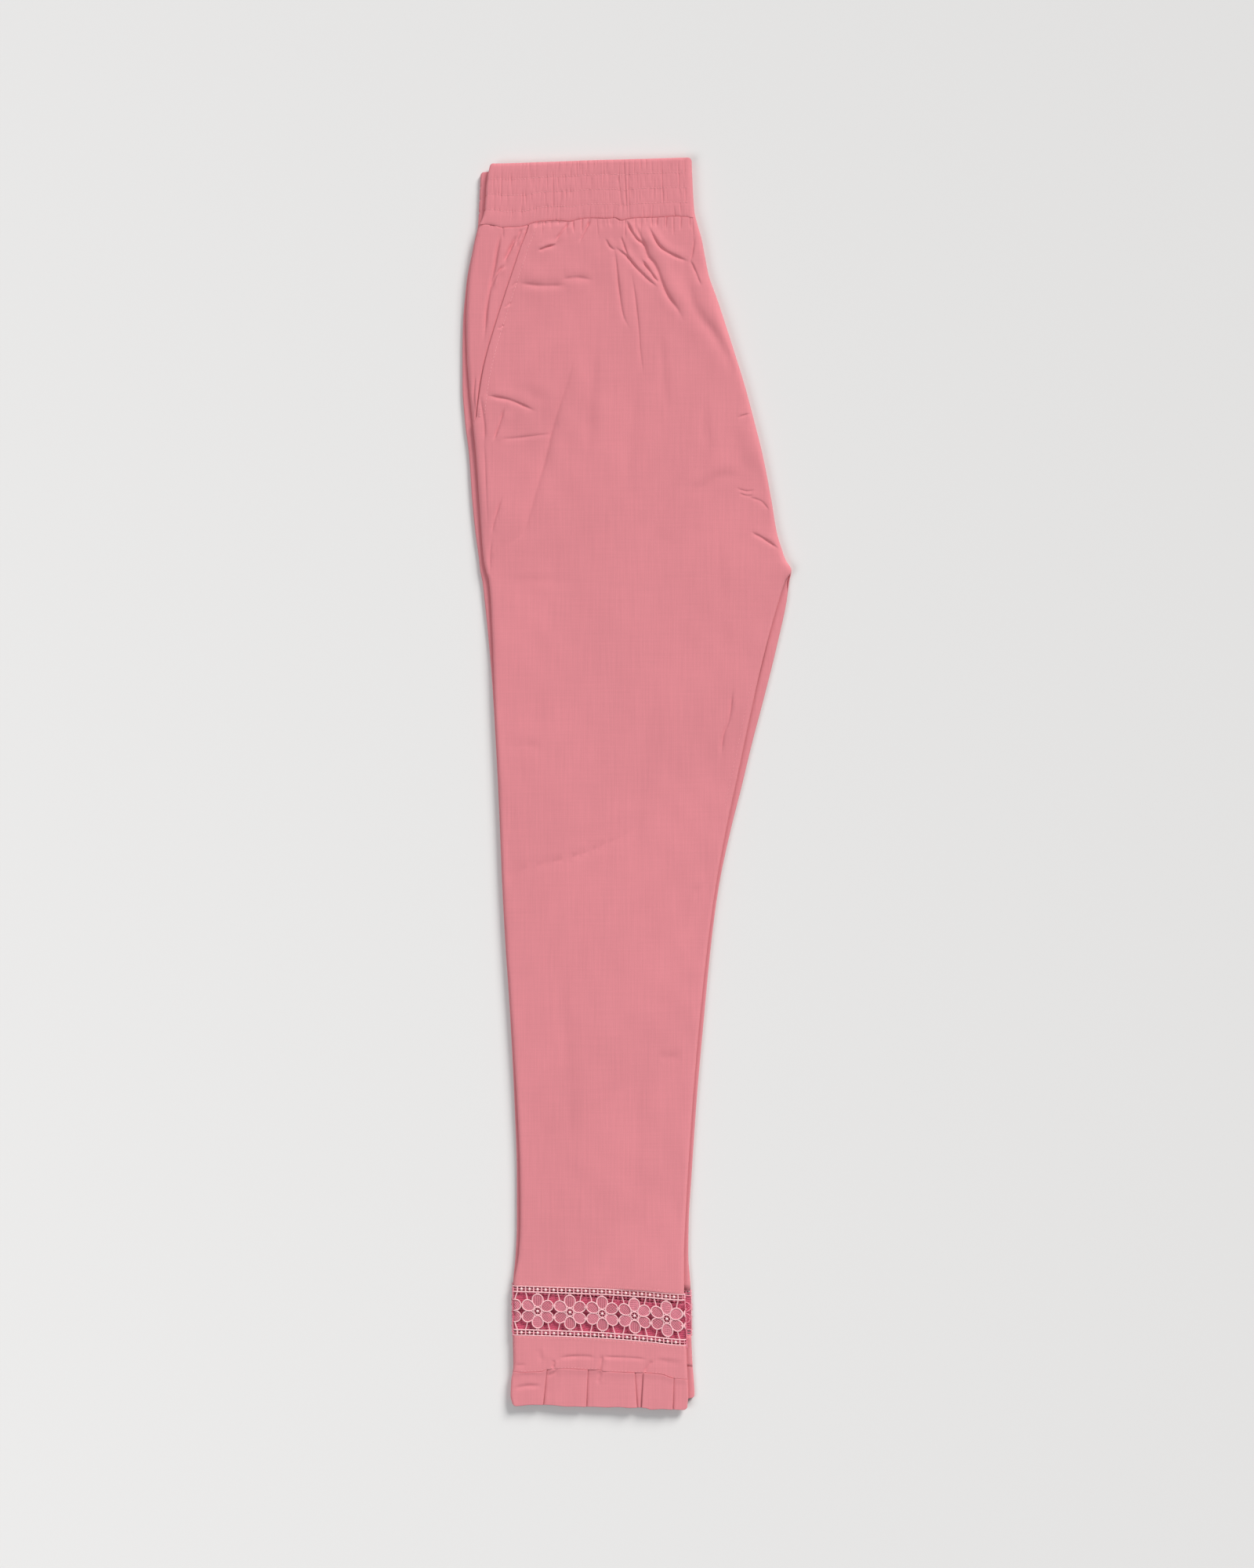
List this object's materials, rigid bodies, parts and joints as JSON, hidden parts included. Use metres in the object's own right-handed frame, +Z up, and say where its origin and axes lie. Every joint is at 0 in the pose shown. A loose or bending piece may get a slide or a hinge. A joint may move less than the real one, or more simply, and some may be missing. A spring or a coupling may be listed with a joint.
{
  "type": "straight pants",
  "caption": "Straight pull-on trousers folded in half lengthwise and laid flat, with gathered elastic waist, slanted pockets, lace insertions and pleated ruffle hems.",
  "frame": {"origin": "centre of the folded garment on the floor it lies on, midway between its ends and between its sides", "axes": "+Y towards the waistband, -Y towards the hems, +X towards the crotch and inseams, -X towards the side seams, +Z up from the floor through the layers"},
  "size_m": [0.254, 0.965, 0.0102],
  "materials": {
    "pink_cotton": "matt slubbed plain weave",
    "pink_facing": "matt slubbed plain weave, in the shade of the pocket mouth",
    "pink_lace": "corded flower lace with a soft sheen"
  },
  "bodies": {
    "root": {"waistband": "pink_cotton", "front_right": "pink_cotton", "pocket_facing_right": "pink_facing", "back_panels": "pink_cotton", "front_left": "pink_cotton", "pocket_facing_left": "pink_facing", "lace_front_right": "pink_lace", "lace_front_left": "pink_lace", "cuff_front_right": "pink_cotton", "cuff_front_left": "pink_cotton", "ruffle_right": "pink_cotton", "ruffle_left": "pink_cotton"}
  },
  "joints": []
}
